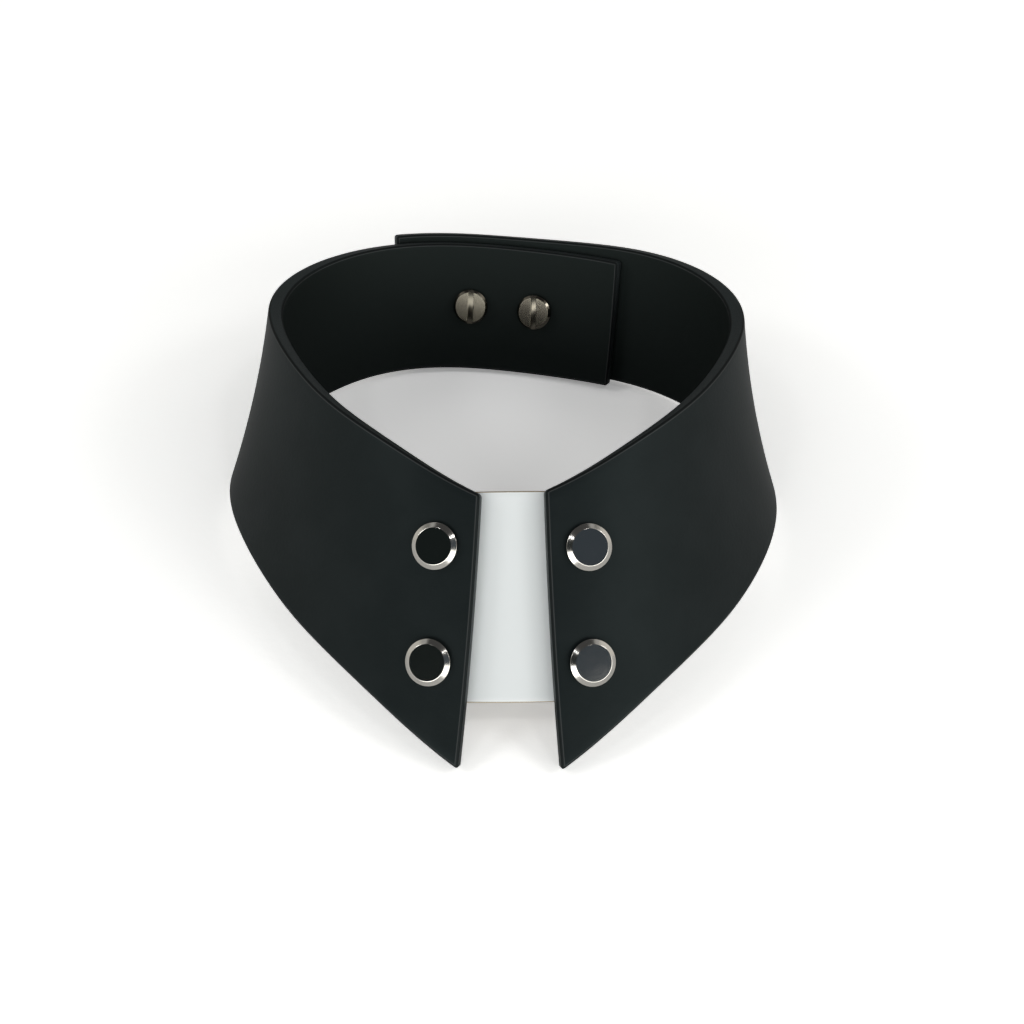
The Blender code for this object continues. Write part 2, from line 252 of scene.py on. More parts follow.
def section_half(thickness, arris, cut_rows, arris_steps, face_rows):
    """Half of a sheet's section, from the middle of the top cut edge over the outer face to the middle of
    the bottom one: for each point its share across, the depth of its core point, and the way out from the
    core."""
    cut = np.linspace(0.5 / cut_rows, 1.0, cut_rows)
    cut_depth = thickness / 2.0 + (arris - thickness / 2.0) * (cut - cut[0]) / (1.0 - cut[0])
    cut_depth = cut_depth - (thickness / 2.0 - arris) * cut[0] * (1.0 - cut) / (1.0 - cut[0])
    bend = np.radians(np.linspace(0.0, 90.0, arris_steps + 1))[1:]
    rows = np.linspace(0.0, 1.0, face_rows + 1)[1:]
    share = np.concatenate((0.0 * cut, 0.0 * bend, rows, 1.0 + 0.0 * bend, 1.0 + 0.0 * cut[1:]))
    core = np.concatenate((cut_depth, np.full(len(share) - 2 * cut_rows + 1, arris), cut_depth[::-1][1:]))
    down = np.concatenate((-1.0 + 0.0 * cut, -np.cos(bend), 0.0 * rows, np.sin(bend), 1.0 + 0.0 * cut[1:]))
    deep = np.concatenate((0.0 * cut, -np.sin(bend), -1.0 + 0.0 * rows, -np.cos(bend), 0.0 * cut[1:]))
    return share, core, down, deep


def measured_lengths(surface, depth, steps=160):
    """Length along the sheet for stations across it, and width across for stations along it, each as a sum
    of short straight steps at this depth."""
    stations = np.linspace(0.0, 1.0, steps + 1)
    along, across = np.meshgrid(stations, stations, indexing="ij")
    points = surface(along.ravel(), across.ravel(), np.full(along.size, depth))
    points = points.reshape(steps + 1, steps + 1, 3)
    lengths = np.linalg.norm(np.diff(points, axis=0), axis=2).sum(axis=0)
    widths = np.linalg.norm(np.diff(points, axis=1), axis=2).sum(axis=1)
    return stations, lengths, widths


def mesh_object(name, points, faces):
    """A piece with these points and faces. If its volume comes out negative, its faces are turned round."""
    mesh = bpy.data.meshes.new(name)
    mesh.from_pydata(points.tolist(), [], faces)
    mesh.validate()
    work = bmesh.new()
    work.from_mesh(mesh)
    if work.calc_volume(signed=True) < 0.0:
        bmesh.ops.reverse_faces(work, faces=work.faces)
    work.to_mesh(mesh)
    work.free()
    mesh.shade_smooth()
    piece = bpy.data.objects.new(name, mesh)
    bpy.context.scene.collection.objects.link(piece)
    return piece


def keep_numbers(piece, name, numbers):
    """Keep one number with every point of a piece, under a name that the finishes can read."""
    layer = piece.data.attributes.new(name, "FLOAT", "POINT")
    layer.data.foreach_set("value", np.asarray(numbers, np.float32))


def rounded_sheet(name, surface, thickness, arris, columns, face_rows, cut_rows=3, arris_steps=4):
    """The closed skin of a sheet. A point is its core point, which keeps one arris radius inside every
    edge, plus that radius times the way out. At the ends the radius shrinks by the sine of an angle while
    the point moves in by one less its cosine, which is a quarter circle. The angle starts a little above
    nothing, so that the strip which closes the end has some width."""
    share, core, down, deep = section_half(thickness, arris, cut_rows, arris_steps, face_rows)
    share, down = (np.concatenate((numbers, numbers[::-1])) for numbers in (share, down))
    core = np.concatenate((core, thickness - core[::-1]))
    deep = np.concatenate((deep, -deep[::-1]))
    stations, lengths, widths = measured_lengths(surface, thickness / 2.0)
    length = np.interp(share, stations, lengths)

    bend = np.radians(np.linspace(END_STRIP_ANGLE, 90.0, arris_steps + 1))[:-1]
    middle = np.linspace(0.0, 1.0, columns + 1)
    sine = np.concatenate((np.sin(bend), np.ones(columns + 1), np.sin(bend[::-1])))[:, None]
    end_inset = np.concatenate((arris * (1.0 - np.cos(bend)), np.full(columns + 1, arris)))
    start = np.concatenate((end_inset, end_inset[:len(bend)][::-1]))[:, None]
    place = np.concatenate((0.0 * bend, middle, 1.0 + 0.0 * bend))[:, None]
    past_middle = (np.arange(len(place)) >= len(bend) + columns + 1)[:, None]
    along = (start + (length - 2.0 * arris) * place) / length
    along = np.where(past_middle, 1.0 - start / length, along)

    width = np.interp(along, stations, widths)
    across = (arris + (width - 2.0 * arris) * share + arris * sine * down) / width
    depth = core + arris * sine * deep
    points = surface(along.ravel(), across.ravel(), depth.ravel())
    points[:, 2] = np.maximum(points[:, 2], 0.0)

    ring = along.shape[1]
    grid = np.arange(along.size).reshape(along.shape)
    around = np.roll(grid, -1, axis=1)
    walls = np.stack((grid[:-1], around[:-1], around[1:], grid[1:]), -1).reshape(-1, 4)
    low = np.arange(ring // 2 - 1)
    strip = np.stack((low, ring - 1 - low, ring - 2 - low, low + 1), -1)
    ends = np.concatenate((grid[0][strip], grid[-1][strip[:, ::-1]]))
    piece = mesh_object(name, points, np.concatenate((walls, ends)).tolist())
    keep_numbers(piece, "facing", (-deep * sine * np.ones_like(along)).ravel())
    keep_numbers(piece, "depth", depth.ravel() / MM)
    return piece


def count_triangles(piece):
    piece.data.calc_loop_triangles()
    return len(piece.data.loop_triangles)


# %% [markdown]
# ## The fasteners' places
#
# Six screw posts go through the layers, at right angles to the leather's outer face. Each one's own Z
# points out of the choker and its Y up along the leather, so a turned profile and a hole can be put there
# with one product of matrices.

# %% Where the fasteners stand
Fastener = namedtuple("Fastener", "place half angle height slot_turn")
FASTENERS = (
    Fastener("front_left_upper", LEFT, 14.7, 33.3, 35.0),
    Fastener("front_left_lower", LEFT, 14.5, 16.55, -20.0),
    Fastener("front_right_upper", RIGHT, 14.35, 33.5, 62.0),
    Fastener("front_right_lower", RIGHT, 14.2, 16.9, 8.0),
    Fastener("back_left", RIGHT, 190.1, 16.8, 2.5),
    Fastener("back_right", RIGHT, 172.5, 16.8, -4.7),
)
BARREL_RADIUS = 2.5 * MM


def is_at_back(fastener):
    return fastener.angle > 90.0


def axes_of(fastener):
    """Where a fastener's axis leaves the outer leather, and its three directions: right, up and out."""
    point, outward = leather_point(fastener.half, [fastener.angle], [fastener.height * MM])
    out = outward[0]
    right = np.cross((0.0, 0.0, 1.0), out)
    right /= np.linalg.norm(right)
    return point[0], np.stack((right, np.cross(out, right), out))


for fastener in FASTENERS:
    point, axes = axes_of(fastener)
    print(fastener.place, (point / MM).round(1), "mm, out", axes[2].round(2))

# %% [markdown]
# ## Turned pieces and the holes for them
#
# Caps, barrels, heads and the drills for their holes are all round, so one function carries a profile of
# radii and heights round an axis. A real edge is never quite sharp, and the thin bright line that a small
# radius reflects is what makes metal look like metal, so each inner corner of a profile is replaced by an
# arc. A short straight step on both sides of the arc keeps the flats' shading flat.

# %% Turned pieces
TURNED_SIDES = 96
ARC_STEPS = 4
ARC_SUPPORT = 0.03 * MM
FLAT_RINGS = 10
CUT_SHARP_ANGLE = 40.0
DRILL_REACH = 12.0 * MM
DRILL_SIDES = 48


def rounded_profile(corners, radii):
    """The profile with each inner corner replaced by an arc of its radius: the arc starts and ends at the
    radius times the tangent of half the turn from the corner, and its points are mixed from the two
    directions by sines, as on any circle."""
    corners = np.asarray(corners, float)
    rows = [corners[:1]]
    for before, corner, after, radius in zip(corners[:-2], corners[1:-1], corners[2:], radii):
        to_before = (before - corner) / np.linalg.norm(before - corner)
        to_after = (after - corner) / np.linalg.norm(after - corner)
        turn = math.pi - math.acos(float(np.clip(to_before @ to_after, -1.0, 1.0)))
        reach = radius * math.tan(turn / 2.0)
        middle = corner + (to_before + to_after) * reach / (1.0 + float(to_before @ to_after))
        spoke_in = corner + to_before * reach - middle
        spoke_out = corner + to_after * reach - middle
        share = np.linspace(0.0, 1.0, ARC_STEPS + 1)[:, None]
        spokes = np.sin((1.0 - share) * turn) * spoke_in + np.sin(share * turn) * spoke_out
        arc = middle + spokes / math.sin(turn)
        straight = reach + ARC_SUPPORT
        rows += [[corner + to_before * straight], arc, [corner + to_after * straight]]
    return np.concatenate((*rows, corners[-1:]))


def with_rings(profile):
    """The profile with points added on its first flat, evenly spaced from the axis outwards. The radius
    that is kept with every point then runs evenly over the flat, for the finish's circular marks to
    follow."""
    share = np.linspace(0.0, 1.0, FLAT_RINGS + 2)[1:-1, None]
    return np.concatenate((profile[:1], profile[0] + (profile[1] - profile[0]) * share, profile[1:]))


def turned(name, profile, origin, axes, sides=TURNED_SIDES):
    """A profile of radii and heights turned about its axis: radius times cosine and sine of the angle, and
    the height, in the fastener's own directions. The first and the last point lie on the axis, and flat
    faces with many corners close the piece there."""
    radius, height = profile[1:-1, 0], profile[1:-1, 1]
    turn = np.linspace(0.0, 2.0 * math.pi, sides, endpoint=False)
    local = np.stack(np.broadcast_arrays(radius[:, None] * np.cos(turn), radius[:, None] * np.sin(turn),
                                         height[:, None]), -1).reshape(-1, 3)
    grid = np.arange(len(local)).reshape(len(radius), sides)
    around = np.roll(grid, -1, axis=1)
    walls = np.stack((grid[:-1], grid[1:], around[1:], around[:-1]), -1).reshape(-1, 4)
    ends = [grid[0].tolist(), grid[-1][::-1].tolist()]
    piece = mesh_object(name, origin + local @ axes, walls.tolist() + ends)
    keep_numbers(piece, "turned_radius", np.linalg.norm(local[:, :2], axis=1) / MM)
    return piece


def keep_result(piece):
    """Make what the modifiers show the piece's own mesh."""
    graph = bpy.context.evaluated_depsgraph_get()
    shown = piece.evaluated_get(graph)
    result = bpy.data.meshes.new_from_object(shown, preserve_all_data_layers=True, depsgraph=graph)
    result.name = piece.data.name
    piece.modifiers.clear()
    piece.data = result


def cut_out(piece, cutters):
    """Take the cutters out of a piece with Boolean modifiers, keep the result as the piece's mesh, and
    remove the cutters. The manifold solver leaves all pieces closed, where the exact one left a slit
    without width in the right half. Corners sharper than CUT_SHARP_ANGLE then shade as corners."""
    for cutter in cutters:
        modifier = piece.modifiers.new("cut", "BOOLEAN")
        modifier.operation = "DIFFERENCE"
        modifier.solver = "MANIFOLD"
        modifier.object = cutter
    keep_result(piece)
    for cutter in cutters:
        bpy.data.objects.remove(cutter, do_unlink=True)
    piece.data.set_sharp_from_angle(angle=math.radians(CUT_SHARP_ANGLE))


def drill(fastener, radius):
    """A rod on a fastener's axis, long enough to go through all layers."""
    profile = ((0.0, DRILL_REACH), (radius, DRILL_REACH), (radius, -DRILL_REACH), (0.0, -DRILL_REACH))
    return turned("drill", np.array(profile), *axes_of(fastener), sides=DRILL_SIDES)


# %% [markdown]
# ## The leather halves
#
# Each half is one rounded sheet with four holes drilled through it. The leather is 3.6 mm thick and its
# burnished arrises have a radius of 0.72 mm. Leather this thick bends in one even curve, and the photograph
# shows no crease, inside or outside, so none is made.

# %% The leather halves
ARRIS = 0.72 * MM
ARRIS_STEPS = 6
HALF_COLUMNS = 300
HALF_ROWS = 30

halves = {}
for half in (LEFT, RIGHT):
    name = "choker_half_" + half.name
    piece = rounded_sheet(name, half_surface(half), LEATHER, ARRIS, HALF_COLUMNS, HALF_ROWS,
                          arris_steps=ARRIS_STEPS)
    own = [f for f in FASTENERS if f.half is half or is_at_back(f)]
    cut_out(piece, [drill(f, BARREL_RADIUS + GAP) for f in own])
    halves[half.name] = piece
    print(piece.name, count_triangles(piece), "triangles,", len(own), "holes")

# %% [markdown]
# ## The white plate
#
# The plate is cut as a rectangle and then bent, which is why its edges look straight from in front. A cone
# can be laid out flat without stretching: each of its lines keeps its length, and neighbouring lines keep
# the angle between them. So the rectangle is drawn in that flat pattern and carried back onto the cone.
#
# The plate lies against the leather's inner face, so its points are the leather's own, moved in by the
# leather's thickness and a gap. Where it crosses the middle it changes from the left half's points to the
# right half's.

# %% The plate
PLATE_MIDDLE = 1.0
PLATE_TOP = 42.9 * MM
PLATE_BOTTOM = 12.3 * MM
PLATE_WIDTH = 47.0 * MM
PLATE_TILT = 1.0
PLATE_ARRIS = 0.35 * MM
PLATE_COLUMNS = 80
PLATE_ROWS = 40
FLAT_REACH = 30.0
FLAT_STEPS = 600


def flat_to_ring(sideways, away):
    """Angle and height of a point of the flat pattern. Its own angle there is the arc tangent of sideways
    over away, which is looked up among the summed angles between the cone's lines. Its share of its line's
    length gives how far it drops from the apex."""
    turns = np.radians(np.linspace(-FLAT_REACH, FLAT_REACH, FLAT_STEPS + 1))
    lines = plan_point(turns) - APEX
    lengths = np.linalg.norm(lines, axis=1)
    directions = lines / lengths[:, None]
    flat_angles = np.concatenate(([0.0], np.cumsum(np.linalg.norm(np.diff(directions, axis=0), axis=1))))
    flat_angles -= np.interp(math.radians(PLATE_MIDDLE), turns, flat_angles)
    turn = np.interp(np.arctan2(sideways, away), flat_angles, turns)
    drop = np.hypot(sideways, away) / np.interp(turn, turns, lengths) * (APEX[2] - REFERENCE_HEIGHT)
    return np.degrees(turn), APEX[2] - drop


def plate_surface(along, across, depth):
    """The plate: sideways runs evenly over its width, and away evenly from its top to its bottom, with a
    small tilt that lifts its right end."""
    middle_line = np.linalg.norm(plan_point(np.radians([PLATE_MIDDLE]))[0] - APEX)
    sideways = PLATE_WIDTH * (along - 0.5)
    height = PLATE_TOP * (1.0 - across) + PLATE_BOTTOM * across
    away = (APEX[2] - height) * middle_line / (APEX[2] - REFERENCE_HEIGHT)
    angle, height = flat_to_ring(sideways, away - sideways * math.tan(math.radians(PLATE_TILT)))
    under = LEATHER + GAP + depth
    left = leather_point(LEFT, -angle, height, under)[0]
    right = leather_point(RIGHT, angle, height, under)[0]
    return np.where((angle < 0.0)[:, None], left, right)


plate = rounded_sheet("white_plate", plate_surface, PLATE, PLATE_ARRIS, PLATE_COLUMNS, PLATE_ROWS)
cut_out(plate, [drill(f, BARREL_RADIUS + GAP) for f in FASTENERS if not is_at_back(f)])
print(plate.name, count_triangles(plate), "triangles")

# %% [markdown]
# ## The screw posts
#
# A post has a flat cap with a bevelled rim, and a hollow barrel that takes the screw. The thread in it is
# left out. The cap is turned, bevelled and polished, and the arris between its flat and its bevel is rubbed
# round by the polishing wheel, which gives the thin bright ring round the dark mirror.

# %% The posts
CAP_RADIUS = 4.88 * MM
CAP_FLAT_RADIUS = 3.86 * MM
CAP_BEVEL = 0.65 * MM
CAP_HEIGHT = 1.2 * MM
BARREL_WALL = 0.6 * MM
BARREL_SHORTFALL = 0.6 * MM
POST_ARCS = np.array((0.30, 0.10, 0.10, 0.10, 0.10, 0.10, 0.20)) * MM


def stack_depth(fastener):
    """From the outer leather's face to the inner face of the last layer."""
    return LEATHER + GAP + (LEATHER if is_at_back(fastener) else PLATE)


def seat(radius):
    """How far a flat face of this radius stands off, so that the bent leather under it stays clear: the gap
    and the height of an arc of the ring over that radius."""
    return GAP + radius * radius / (2.0 * MEAN_RADIUS)


def post(fastener):
    """A cap over a barrel with a bore, as one turned profile from the middle of the cap's flat, over its
    rim and down the barrel, back up the bore."""
    base = seat(BARREL_RADIUS)
    top = base + CAP_HEIGHT
    end = BARREL_SHORTFALL - stack_depth(fastener)
    bore = BARREL_RADIUS - BARREL_WALL
    corners = ((0.0, top), (CAP_FLAT_RADIUS, top), (CAP_RADIUS, top - CAP_BEVEL), (CAP_RADIUS, base),
               (BARREL_RADIUS, base), (BARREL_RADIUS, end), (bore, end), (bore, base), (0.0, base))
    profile = with_rings(rounded_profile(corners, POST_ARCS))
    return turned("screw_post_" + fastener.place, profile, *axes_of(fastener))


posts = {fastener.place: post(fastener) for fastener in FASTENERS}
print(len(posts), "posts of", count_triangles(posts["back_left"]), "triangles")

# %% [markdown]
# ## The screws
#
# A screw's head sits inside the choker and its shank goes up the post's barrel. The slot is sawn across the
# head, so it is cut here too, with a thin block, and a Bevel modifier takes the burr off its edges. Its
# facets stay sharp, or the slot's flat floor and walls would shade as one round channel.

# %% The screws
HEAD_RADIUS = 4.8 * MM
HEAD_FLAT_RADIUS = 4.17 * MM
HEAD_BEVEL = 0.63 * MM
HEAD_HEIGHT = 1.9 * MM
SLOT_WIDTH = 1.5 * MM
SLOT_DEPTH = 0.9 * MM
SLOT_ARRIS = 0.07 * MM
SLOT_ARRIS_STEPS = 2
BURR_ANGLE = 60.0
SCREW_ARCS = np.array((0.20, 0.10, 0.10, 0.15, 0.15)) * MM
SCREW_SHARP_ANGLE = 25.0


def block(name, size, middle, axes):
    """A block of this size round a middle point, with its sides along the axes."""
    signs = np.array([(x, y, z) for x in (-0.5, 0.5) for y in (-0.5, 0.5) for z in (-0.5, 0.5)])
    faces = [(0, 1, 3, 2), (4, 6, 7, 5), (0, 4, 5, 1), (2, 3, 7, 6), (0, 2, 6, 4), (1, 5, 7, 3)]
    return mesh_object(name, middle + (signs * size) @ axes, faces)


def screw(fastener):
    """A shank and a head that points into the choker, turned from one profile, and then the slot: the saw
    is a block with its middle on the head's flat, twice as high as the slot is deep and longer than the
    head is wide."""
    base = -stack_depth(fastener) - seat(HEAD_RADIUS)
    top = base - HEAD_HEIGHT
    shank = BARREL_RADIUS - BARREL_WALL - GAP
    shank_end = -2.0 * GAP
    corners = ((0.0, shank_end), (shank, shank_end), (shank, base), (HEAD_RADIUS, base),
               (HEAD_RADIUS, top + HEAD_BEVEL), (HEAD_FLAT_RADIUS, top), (0.0, top))
    origin, axes = axes_of(fastener)
    profile = with_rings(rounded_profile(corners, SCREW_ARCS)[::-1])
    piece = turned("slotted_screw_" + fastener.place, profile, origin, axes)
    turn = math.radians(fastener.slot_turn)
    cosine, sine = math.cos(turn), math.sin(turn)
    saw_axes = np.array(((cosine, sine, 0.0), (-sine, cosine, 0.0), (0.0, 0.0, 1.0))) @ axes
    saw_length = 3.0 * HEAD_RADIUS
    saw_height = 2.0 * SLOT_DEPTH
    size = np.array((SLOT_WIDTH, saw_length, saw_height))
    cut_out(piece, [block("saw", size, origin + axes[2] * top, saw_axes)])
    slot_burr = piece.modifiers.new("slot_burr", "BEVEL")
    slot_burr.limit_method = "ANGLE"
    slot_burr.angle_limit = math.radians(BURR_ANGLE)
    slot_burr.width = SLOT_ARRIS
    slot_burr.segments = SLOT_ARRIS_STEPS
    keep_result(piece)
    piece.data.set_sharp_from_angle(angle=math.radians(SCREW_SHARP_ANGLE))
    return piece


screws = {fastener.place: screw(fastener) for fastener in FASTENERS}
print(len(screws), "screws of", count_triangles(screws["back_left"]), "triangles")

# %% [markdown]
# ## Small helpers for materials
#
# A material is a small graph of nodes. These helpers only save typing: one adds a node and fills in its
# sockets, where a socket that gets another node's output is linked and one that gets a number is set.
# Numbers that are the same all over a surface are set on the shader itself.

# %% Helpers for materials
def new_material(name):
    material = bpy.data.materials.new(name)
    material.use_nodes = True
    shader = material.node_tree.nodes["Principled BSDF"]
    return material, shader


def fill(tree, node, sockets):
    for key, value in sockets.items():
        socket = node.inputs[key]
        if isinstance(value, bpy.types.NodeSocket):
            tree.links.new(value, socket)
        else:
            socket.default_value = value


def add_node(tree, kind, output=0, settings=None, **sockets):
    """Add a node, give it its settings, fill its sockets, and return one of its outputs. A socket's name is
    written with underscores for spaces, and s0, s1 and so on mean a socket by its number."""
    node = tree.nodes.new("ShaderNode" + kind)
    for key, value in (settings or {}).items():
        setattr(node, key, value)
    by_socket = {}
    for key, value in sockets.items():
        is_number = key[0] == "s" and key[1:].isdigit()
        by_socket[int(key[1:]) if is_number else key.replace("_", " ")] = value
    fill(tree, node, by_socket)
    return node.outputs[output]


def attribute(tree, name):
    return add_node(tree, "Attribute", "Fac", {"attribute_name": name})


def object_place(tree):
    return add_node(tree, "TexCoord", "Object")


def noise(tree, vector, scale, detail=2.0, roughness=0.5):
    return add_node(tree, "TexNoise", "Fac", Vector=vector, Scale=scale, Detail=detail, Roughness=roughness)


def graded(tree, value, low, high, to_low=0.0, to_high=1.0):
    """A number that goes smoothly from to_low, where the value is low, to to_high, where it is high."""
    return add_node(tree, "MapRange", 0, {"interpolation_type": "SMOOTHSTEP"}, s0=value, s1=low, s2=high,
                    s3=to_low, s4=to_high)


def arithmetic(tree, operation, first, second):
    return add_node(tree, "Math", 0, {"operation": operation}, s0=first, s1=second)


def mixed_colour(tree, share, first, second):
    colours = [(*c, 1.0) if isinstance(c, tuple) else c for c in (first, second)]
    return add_node(tree, "Mix", 2, {"data_type": "RGBA"}, s0=share, s6=colours[0], s7=colours[1])


def dress(material, *dressed):
    for piece in dressed:
        piece.data.materials.clear()
        piece.data.materials.append(material)


# %% [markdown]
# ## Black leather
#
# The leather is taken to be dyed through and finished almost matt. The outer face is very dark and a little
# cool, also in its sheen, the inner one is rougher, and the cut edges are waxed and rubbed, so they are
# paler and fibrous. A darker band over each arris is painted shade, and a light line along it is a painted
# highlight. The facing number picks the zone, and the depth number lays the fibres along the edge.

# %% Black leather
OUTER_DARK = (0.0058, 0.0080, 0.0088)
OUTER_LIGHT = (0.0080, 0.0105, 0.0114)
INNER_BLACK = (0.0082, 0.0106, 0.0100)
SHEEN_TINT = (0.80, 1.0, 1.0, 1.0)
CUT_DARK = (0.0105, 0.0135, 0.0145)
CUT_LIGHT = (0.040, 0.048, 0.050)
# Painted shade and a painted highlight for the rounded arris: a dark band over it and a light line along it.
PAINTED_ARRIS_SHADE = (0.0060, 0.0068, 0.0072)
PAINTED_ARRIS_HIGHLIGHT = (0.040, 0.042, 0.043)
CLOUD_SCALE = 70.0
FIBRE_SCALE = 160.0
FIBRES_PER_MM = 2.4
PORE_SCALE = 1500.0
GRAIN_SCALE = 1100.0
LEATHER_RELIEF = 0.12
RELIEF_DEPTH = 0.1 * MM
OUTER_ROUGHNESS = 0.44
INNER_ROUGHNESS = 0.62
LEATHER_SHINE = 0.15

leather, shader = new_material("black_leather")
tree = leather.node_tree
place = object_place(tree)
facing = attribute(tree, "facing")
depth = attribute(tree, "depth")

cloudy = noise(tree, place, CLOUD_SCALE, detail=3.0)
outer = mixed_colour(tree, graded(tree, cloudy, 0.35, 0.65), OUTER_DARK, OUTER_LIGHT)
inner_share = graded(tree, facing, 0.2, -0.8)
faces = mixed_colour(tree, inner_share, outer, INNER_BLACK)

layers = arithmetic(tree, "MULTIPLY", depth, FIBRES_PER_MM)
fibres = add_node(tree, "TexNoise", "Fac", {"noise_dimensions": "4D"}, Vector=place, W=layers,
                  Scale=FIBRE_SCALE, Detail=3.0, Roughness=0.6)
cut = mixed_colour(tree, graded(tree, fibres, 0.35, 0.68), CUT_DARK, CUT_LIGHT)
# This is 1 on both faces, falls over the arris and is 0 on a cut edge.
turned_away = add_node(tree, "Math", 0, {"operation": "ABSOLUTE"}, s0=facing)
# A darker band over the arris: painted shade.
painted_shade_share = graded(tree, turned_away, 0.998, 0.90)
cut_share = graded(tree, turned_away, 0.45, 0.20)
# A thin light line where the arris meets the face: a painted highlight.
highlight_inside = graded(tree, turned_away, 0.90, 0.97)
highlight_outside = graded(tree, turned_away, 0.9999, 0.985)
painted_highlight_share = arithmetic(tree, "MULTIPLY", highlight_inside, highlight_outside)
with_painted_shade = mixed_colour(tree, painted_shade_share, faces, PAINTED_ARRIS_SHADE)
with_painted_highlight = mixed_colour(tree, painted_highlight_share, with_painted_shade, PAINTED_ARRIS_HIGHLIGHT)
colour = mixed_colour(tree, cut_share, with_painted_highlight, cut)

pores = noise(tree, place, PORE_SCALE, detail=2.0, roughness=0.6)
grain = add_node(tree, "TexVoronoi", "Distance", {"feature": "SMOOTH_F1"}, Vector=place, Scale=GRAIN_SCALE,
                 Smoothness=0.5)
relief = arithmetic(tree, "ADD", pores, grain)
relief = arithmetic(tree, "ADD", relief, arithmetic(tree, "MULTIPLY", fibres, cut_share))
bump = add_node(tree, "Bump", "Normal", Height=relief, Strength=LEATHER_RELIEF, Distance=RELIEF_DEPTH)

roughness = graded(tree, inner_share, 0.0, 1.0, OUTER_ROUGHNESS, INNER_ROUGHNESS)
fill(tree, shader, {"Base Color": colour, "Roughness": roughness, "Normal": bump})
fill(tree, shader, {"Specular IOR Level": LEATHER_SHINE, "Specular Tint": SHEEN_TINT})
dress(leather, *halves.values())

# %% [markdown]
# ## The plate's finish
#
# The plate is pale leather with a smooth white coat on its front. Its back and its cut edges are bare, so
# they show the hide's own tan, as a thin warm line above and below the white.

# %% White face
COAT_WHITE = (0.83, 0.865, 0.88)
BARE_TAN = (0.42, 0.33, 0.20)
BARE_TAN_DARK = (0.30, 0.22, 0.13)
BARE_FIBRE_SCALE = 300.0
BARE_FIBRES_PER_MM = 2.0
COAT_WAVE_SCALE = 350.0
COAT_RELIEF = 0.05
BARE_ROUGHNESS = 0.75
COAT_ROUGHNESS = 0.28

white, shader = new_material("white_face")
tree = white.node_tree
place = object_place(tree)
facing = attribute(tree, "facing")
depth = attribute(tree, "depth")
layers = arithmetic(tree, "MULTIPLY", depth, BARE_FIBRES_PER_MM)
fibres = add_node(tree, "TexNoise", "Fac", {"noise_dimensions": "4D"}, Vector=place, W=layers,
                  Scale=BARE_FIBRE_SCALE, Detail=3.0, Roughness=0.6)
bare = mixed_colour(tree, graded(tree, fibres, 0.35, 0.65), BARE_TAN_DARK, BARE_TAN)
coated = graded(tree, facing, 0.90, 0.96)
colour = mixed_colour(tree, coated, bare, COAT_WHITE)
coat_waves = noise(tree, place, COAT_WAVE_SCALE, detail=1.0)
bump = add_node(tree, "Bump", "Normal", Height=coat_waves, Strength=COAT_RELIEF, Distance=RELIEF_DEPTH)
roughness = graded(tree, coated, 0.0, 1.0, BARE_ROUGHNESS, COAT_ROUGHNESS)
fill(tree, shader, {"Base Color": colour, "Roughness": roughness, "Normal": bump})
dress(white, plate)

# %% [markdown]
# ## Nickel
#
# The posts and screws are taken to be nickel-plated brass. A cap's flat is polished to a mirror with a few
# fine scratches, and its bevel keeps the lathe's rings, so the turned radius drives a fine relief there.
# The screws' heads are only tumbled, which leaves them satin. Their much darker, warmer colour is painted
# shade and a painted warm reflection of the plate's tan back.

# %% Nickel
NICKEL_COLOUR = (0.66, 0.64, 0.60, 1.0)
# The heads' nickel is darkened and warmed: painted shade and a painted warm reflection of the plate's tan
# back.
HEAD_NICKEL_PAINTED_SHADE = (0.17, 0.157, 0.128, 1.0)
RINGS_PER_MM = 9.0
SCRATCH_SCALE = 700.0
NICKEL_RELIEF = 0.10
NICKEL_DEPTH = 0.05 * MM


def nickel_material(name, nickel_colour, flat_radius, flat_roughness, bevel_roughness, marks):
    """Nickel whose bevel keeps the lathe's rings, which follow the turned radius. Its flat carries a mix of
    scratches and rings, where marks is the rings' share."""
    material, shader = new_material(name)
    tree = material.node_tree
    place = object_place(tree)
    radius = attribute(tree, "turned_radius")
    on_bevel = graded(tree, radius, flat_radius - 0.10, flat_radius + 0.05)
    ring_place = arithmetic(tree, "MULTIPLY", radius, RINGS_PER_MM)
    rings = add_node(tree, "TexNoise", "Fac", {"noise_dimensions": "1D"}, W=ring_place, Scale=1.0, Detail=3.0)
    scratches = noise(tree, place, SCRATCH_SCALE, detail=4.0, roughness=0.7)
    flat_relief = add_node(tree, "Mix", 0, {"data_type": "FLOAT"}, s0=marks, s2=scratches, s3=rings)
    relief = add_node(tree, "Mix", 0, {"data_type": "FLOAT"}, s0=on_bevel, s2=flat_relief, s3=rings)
    bump = add_node(tree, "Bump", "Normal", Height=relief, Strength=NICKEL_RELIEF, Distance=NICKEL_DEPTH)
    roughness = graded(tree, on_bevel, 0.0, 1.0, flat_roughness, bevel_roughness)
    fill(tree, shader, {"Base Color": nickel_colour, "Metallic": 1.0, "Roughness": roughness, "Normal": bump})
    return material


polished = nickel_material("nickel_polished", NICKEL_COLOUR, CAP_FLAT_RADIUS / MM, flat_roughness=0.07,
                           bevel_roughness=0.16, marks=0.3)
satin = nickel_material("nickel_satin", HEAD_NICKEL_PAINTED_SHADE, HEAD_FLAT_RADIUS / MM, flat_roughness=0.18,
                        bevel_roughness=0.14, marks=0.9)
dress(polished, *posts.values())
dress(satin, *screws.values())

# %% [markdown]
# ## The floor
#
# The choker stands on white paper. In the photograph the paper seems to have been brightened afterwards: it
# is pure white, while the caps mirror it as a middle grey. So the paper here has two tones: its true one,
# which lights and is mirrored by everything, and a raised one that only the camera sees, with its shadows
# lifted a little too.

# %% The floor
PAPER_WHITE = 0.90
PAPER_BOOST = 1.7
PAPER_LIFT = 0.26
PAPER_REACH = 2.0
TOOTH_SCALE = 420.0
TOOTH_RELIEF = 0.15
TOOTH_DEPTH = 0.3 * MM

